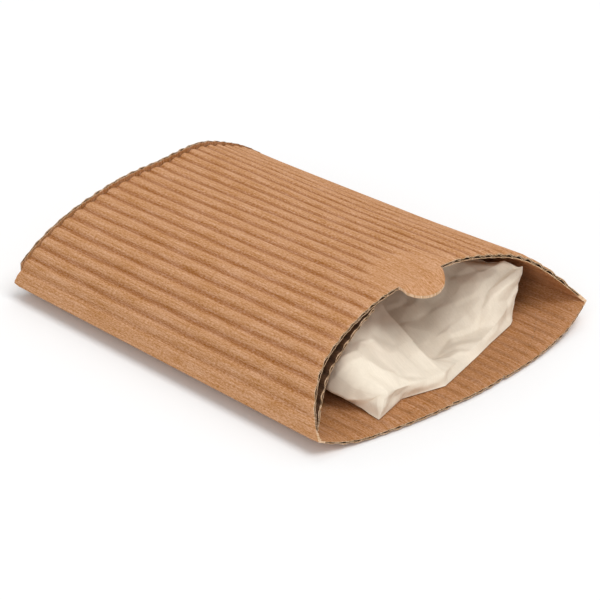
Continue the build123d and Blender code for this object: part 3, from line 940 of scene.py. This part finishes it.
def crumple(u, v, seed, spacing, slope):
    """Height of flat facets that meet at sharp ridges and valleys.

    Two sets of points lie scattered over the sheet.  The height is the squared distance to
    the nearest point of the first set less that to the nearest of the second: between two
    changes of nearest point the squares cancel, which leaves a tilted plane.
    """
    random = np.random.default_rng(seed)
    count = int(u.max() * v.max() / spacing**2)
    height = np.zeros_like(u)
    for sign in (1, -1):
        nearest = np.full_like(u, np.inf)
        for a, b in zip(random.uniform(0, u.max(), count), random.uniform(0, v.max(), count)):
            nearest = np.minimum(nearest, (u - a) ** 2 + (v - b) ** 2)
        height += sign * nearest
    return height * slope / spacing


class PILLOWBOX_OT_tissue(bpy.types.Operator):
    """Builds the folded tissue paper inside the box"""

    bl_idname = "pillow_box.tissue"
    bl_label = "Tissue Paper"

    def execute(self, context):
        """Large planes meet at the net's folds, with small facets over them, in a thin closed sheet."""
        grid = between(between(fold_net(), 0, TISSUE_STEPS), 1, TISSUE_STEPS)
        v, u = run(grid, 0), run(grid, 1)
        height = sum(crumple(u, v, *facets) for facets in TISSUE_FACETS)
        grid = grid + normals(grid) * (height * step(grid[..., 2], *TISSUE_FREE))[..., None]
        # Painted light and shade: the tissue's colour is lighter on raised facets and darker in their
        # hollows.
        light, change, full = TISSUE_LIGHT
        light = light + change * np.clip(height / full, -1, 1)
        shell = closed(grid, grid - normals(grid) * TISSUE_THICK, light, u, v)
        piece = make_piece("tissue_paper", [shell], ["tissue"] * 3, creased=FOLD_SHARP)
        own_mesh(piece)
        return {"FINISHED"}


def node(tree, kind, spot, inputs, **values):
    """Adds one shader node with its settings, and its inputs as values or as sockets to link."""
    made = tree.nodes.new(kind)
    made.location = spot
    for key, value in values.items():
        setattr(made, key, value)
    for key, value in inputs.items():
        if isinstance(value, bpy.types.NodeSocket):
            tree.links.new(value, made.inputs[key])
        else:
            made.inputs[key].default_value = value
    return made


def maths(tree, operation, spot, *inputs):
    """Adds one maths node and gives its output."""
    return node(tree, "ShaderNodeMath", spot, dict(enumerate(inputs)), operation=operation).outputs[0]


FIBRES = (  # input, stretch along the arch and along Y, detail
    ("Streak", (240, 12, 1), 3.0), ("Grain", (480, 140, 1), 2.0), ("Mottle", (11, 7, 1), 3.0),
)
FIBRE_ROUGH = 0.6  # roughness of each noise
RELIEF_ROW = 1  # the fibres up to this row also make the height


def fibre_group():
    """Paper Fibre: streaks along the board, fine grain and slow mottling, as tone and height.

    Each is a noise stretched its own way, less a half and times its input, and the tone is
    their sum.  The height leaves the mottling out.
    """
    name = "Paper Fibre"
    if name in bpy.data.node_groups:
        return bpy.data.node_groups[name]
    tree = bpy.data.node_groups.new(name, "ShaderNodeTree")
    tree.interface.new_socket("Place", in_out="INPUT", socket_type="NodeSocketVector")
    for fibre, _, _ in FIBRES:
        socket = tree.interface.new_socket(fibre, in_out="INPUT", socket_type="NodeSocketFloat")
        socket.default_value = 0.5
    for output in ("Tone", "Height"):
        tree.interface.new_socket(output, in_out="OUTPUT", socket_type="NodeSocketFloat")
    source = node(tree, "NodeGroupInput", (-900, 0), {})
    total, relief = None, None
    for row, (fibre, stretch, detail) in enumerate(FIBRES):
        across = -260 * row
        stretched = {"Vector": source.outputs["Place"], "Scale": stretch}
        mapping = node(tree, "ShaderNodeMapping", (-700, across), stretched)
        settings = {"Scale": 1.0, "Detail": detail, "Roughness": FIBRE_ROUGH}
        noise = node(
            tree, "ShaderNodeTexNoise", (-500, across),
            {"Vector": mapping.outputs["Vector"], **settings}, noise_dimensions="2D",
        )
        centred = maths(tree, "SUBTRACT", (-300, across), noise.outputs["Fac"], 0.5)
        weighed = maths(tree, "MULTIPLY", (-120, across), centred, source.outputs[fibre])
        total = maths(tree, "ADD", (60, across), total, weighed) if total else weighed
        relief = total if row == RELIEF_ROW else relief
    node(tree, "NodeGroupOutput", (500, 0), {"Tone": total, "Height": relief})
    return tree


FIBRE_BREAK = 0.3  # how far the fibre moves the edge between crest and valley
FIBRE_DEPTH = -0.6  # darker fibres are this much more saturated
SHEEN = 0.25  # specular level of the papers
BUMP_DEPTH = 0.3 * MM


def principled(name, rough, sheen):
    """A new material, with its node tree and its shader."""
    material = bpy.data.materials.new(name)
    material.use_nodes = True
    shader = material.node_tree.nodes["Principled BSDF"]
    shader.inputs["Roughness"].default_value = rough
    shader.inputs["Specular IOR Level"].default_value = sheen
    return material, material.node_tree, shader


def paper_material(name, high, low, fibre, rough=0.85, bump=0.32, full=0.6):
    """A board paper, whose darker valley colour, painted shade between the ribs, goes to its crest
    colour with the ribs.

    The fibres' tone shifts the ribs' share a little, is added to one for the colour's
    value, and makes dark flecks more saturated and light ones less.
    """
    material, tree, shader = principled(name, rough, SHEEN)
    uv = node(tree, "ShaderNodeUVMap", (-1100, 0), {}, uv_map="sheet")
    weights = {"Place": uv.outputs["UV"], **fibre}
    group = node(tree, "ShaderNodeGroup", (-900, 0), weights, node_tree=fibre_group())
    tone = group.outputs["Tone"]
    # Painted shade: the crest share moves the colour towards the darker valley colour in the ribs'
    # valleys.
    ribs = node(tree, "ShaderNodeAttribute", (-900, -260), {}, attribute_name="crest")
    share = maths(tree, "MULTIPLY_ADD", (-780, -260), tone, FIBRE_BREAK, ribs.outputs["Fac"])
    ramp = node(tree, "ShaderNodeValToRGB", (-650, -100), {"Fac": share})
    for element, position, colour in zip(ramp.color_ramp.elements, (0.0, full), (low, high)):
        element.position, element.color = position, (*colour, 1)
    flecked = node(
        tree, "ShaderNodeHueSaturation", (-300, 0),
        {
            "Saturation": maths(tree, "MULTIPLY_ADD", (-650, 220), tone, FIBRE_DEPTH, 1.0),
            "Value": maths(tree, "ADD", (-650, 60), tone, 1.0), "Color": ramp.outputs["Color"],
        },
    )
    relief = node(
        tree, "ShaderNodeBump", (-300, -400),
        {"Strength": bump, "Distance": BUMP_DEPTH, "Height": group.outputs["Height"]},
    )
    tree.links.new(flecked.outputs["Color"], shader.inputs["Base Color"])
    tree.links.new(relief.outputs["Normal"], shader.inputs["Normal"])
    return material


FIBRE = {"Streak": 0.7, "Grain": 0.95, "Mottle": 0.16}
SOFT = {"Streak": 0.10, "Grain": 0.12, "Mottle": 0.22}
TORN = {"Streak": 0.8, "Grain": 1.0, "Mottle": 0.4}
PAPERS = {  # crest colour, valley colour or its share of the crest colour as painted shade, settings
    "kraft_outer": ("kraft", "valley", {"fibre": FIBRE}),
    "kraft_inner": ("inner", "inner_valley", {"fibre": FIBRE}),
    # Painted shade: nearly black, for the flute holes and the gap under the lap.
    "kraft_fluting": ("fluting", 0.6, {"fibre": FIBRE}),
    "cut_edge": ("cut", 0.45, {"fibre": TORN, "bump": 0.5}),
    "tissue": ("tissue", 0.85, {"fibre": SOFT, "rough": 0.6, "bump": 0.1, "full": 1.0}),
    "glue": ("glue", 0.8, {"fibre": FIBRE, "rough": 0.45}),
}


def paper(name):
    """Finds a board material or makes it from the box's colours."""
    title = name.replace("_", " ") + " paper"
    if title in bpy.data.materials:
        return bpy.data.materials[title]
    colours = bpy.context.scene.pillow_box_colours
    high, low, settings = PAPERS[name]
    high = getattr(colours, high)
    low = getattr(colours, low) if isinstance(low, str) else [part * low for part in high]
    return paper_material(title, high, low, **settings)


FLOOR_LIGHT = 1.05  # how bright the lamps and the surround make a white floor
FLOOR_REACH, FLOOR_ROUGH = 3.0, 0.9
LAMPS = (  # azimuth, elevation, size, share of the lamps' strength
    ("key", 25, 66, 2.2, 0.84), ("fill", -62, 24, 2.6, 0.52), ("back", 128, 42, 2.4, 0.3),
)
LAMP_AWAY = 3.0
SENSOR = 36  # millimetres
CLIP = (0.01, 20)


class PILLOWBOX_OT_stage(bpy.types.Operator):
    """Sets the pale floor, the soft light and the camera"""

    bl_idname = "pillow_box.stage"
    bl_label = "Stage"

    def execute(self, context):
        """The camera looks along its azimuth and elevation.

        The lamps stand high in front on the right, low on the left and behind on the right,
        each as strong as its share times pi squared and its distance squared.
        """
        scene, view = context.scene, context.scene.pillow_box_view
        mesh = bpy.data.meshes.new("floor")
        corners = np.array([(-1, -1, 0), (1, -1, 0), (1, 1, 0), (-1, 1, 0)]) * FLOOR_REACH
        mesh.from_pydata(corners.tolist(), [], [(0, 1, 2, 3)])
        floor = bpy.data.objects.new("floor", mesh)
        scene.collection.objects.link(floor)
        material, tree, shader = principled("floor", FLOOR_ROUGH, 0.0)
        plain, white = scene.pillow_box_colours.floor, [1 / FLOOR_LIGHT] * 3
        shades = {"Factor": self.seen(tree), "A": (*plain, 1), "B": (*white, 1)}
        colour = node(tree, "ShaderNodeMix", (-300, 0), shades, data_type="RGBA")
        tree.links.new(colour.outputs["Result"], shader.inputs["Base Color"])
        mesh.materials.append(material)
        world = scene.world = bpy.data.worlds.new("surround")
        world.use_nodes = True
        tree = world.node_tree
        background = tree.nodes["Background"]
        levels = {"Factor": self.seen(tree), "A": view.sky, "B": 1.0}
        strength = node(tree, "ShaderNodeMix", (-300, 0), levels, data_type="FLOAT")
        tree.links.new(strength.outputs["Result"], background.inputs["Strength"])
        background.inputs["Color"].default_value = (1, 1, 1, 1)
        for name, azimuth, elevation, size, share in LAMPS:
            lamp = bpy.data.lights.new(name, "AREA")
            lamp.shape, lamp.size = "DISK", size
            lamp.energy = view.sun * share * math.pi * math.pi * LAMP_AWAY**2
            direction = self.back(math.radians(azimuth), math.radians(elevation))
            self.put(scene, name, lamp, direction, direction * LAMP_AWAY)
        camera = bpy.data.cameras.new("camera")
        camera.lens, camera.sensor_width, camera.sensor_height = view.lens, SENSOR, SENSOR
        camera.clip_start, camera.clip_end = CLIP
        back = self.back(view.azimuth, view.elevation)
        right = Vector((math.cos(view.azimuth), math.sin(view.azimuth), 0))
        up = back.cross(right)
        middle = Vector((0, 0, scene.pillow_box_sizes.crease_height))
        aim = middle + right * view.aim_right + up * view.aim_up
        scene.camera = self.put(scene, "camera", camera, back, aim + back * view.distance)
        scene.view_settings.view_transform = "Standard"
        return {"FINISHED"}

    @staticmethod
    def put(scene, name, data, direction, place):
        """Adds a lamp or camera at a place, looking against the direction."""
        made = bpy.data.objects.new(name, data)
        made.location = place
        made.rotation_euler = direction.to_track_quat("Z", "Y").to_euler()
        scene.collection.objects.link(made)
        return made

    @staticmethod
    def back(azimuth, elevation):
        """The direction from the box towards a viewer, from the sine and cosine of both angles."""
        flat = math.cos(elevation)
        return Vector((math.sin(azimuth) * flat, -math.cos(azimuth) * flat, math.sin(elevation)))

    @staticmethod
    def seen(tree):
        """The largest of the camera, glossy and transmission rays of Light Path."""
        path = node(tree, "ShaderNodeLightPath", (-900, 200), {})
        first = maths(
            tree, "MAXIMUM", (-700, 200), path.outputs["Is Camera Ray"], path.outputs["Is Glossy Ray"]
        )
        return maths(tree, "MAXIMUM", (-500, 200), first, path.outputs["Is Transmission Ray"])


OPERATORS = (
    PILLOWBOX_OT_top_panel, PILLOWBOX_OT_bottom_panel, PILLOWBOX_OT_front_flap, PILLOWBOX_OT_back_flap,
    PILLOWBOX_OT_creases, PILLOWBOX_OT_seam_lap, PILLOWBOX_OT_thumb_tab,
    PILLOWBOX_OT_tissue, PILLOWBOX_OT_stage,
)


class PILLOWBOX_PT_panel(bpy.types.Panel):
    """Lists the pieces of the box and its sizes"""

    bl_idname = "PILLOWBOX_PT_panel"
    bl_label = "Pillow Box"
    bl_space_type = "VIEW_3D"
    bl_region_type = "UI"
    bl_category = "Pillow Box"

    def draw(self, context):
        """Draws a button for each operator and a field for each size and colour."""
        for operator in OPERATORS:
            self.layout.operator(operator.bl_idname)
        for group in ("pillow_box_sizes", "pillow_box_colours", "pillow_box_view"):
            values = getattr(context.scene, group)
            for key in values.bl_rna.properties.keys():
                if key not in ("rna_type", "name"):
                    self.layout.prop(values, key)


GROUPS = (
    ("pillow_box_sizes", PillowBoxSizes),
    ("pillow_box_colours", PillowBoxColours),
    ("pillow_box_view", PillowBoxView),
)


def register():
    """Registers the classes and hangs the property groups on the scene."""
    for name, group in GROUPS:
        bpy.utils.register_class(group)
        setattr(bpy.types.Scene, name, bpy.props.PointerProperty(type=group))
    for operator in OPERATORS:
        bpy.utils.register_class(operator)
    bpy.utils.register_class(PILLOWBOX_PT_panel)


def unregister():
    """Takes the classes and property groups away again."""
    bpy.utils.unregister_class(PILLOWBOX_PT_panel)
    for operator in reversed(OPERATORS):
        bpy.utils.unregister_class(operator)
    for name, group in reversed(GROUPS):
        delattr(bpy.types.Scene, name)
        bpy.utils.unregister_class(group)


def main():
    register()
    for operator in OPERATORS:
        group, name = operator.bl_idname.split(".")
        getattr(getattr(bpy.ops, group), name)()


if __name__ == "__main__":
    main()
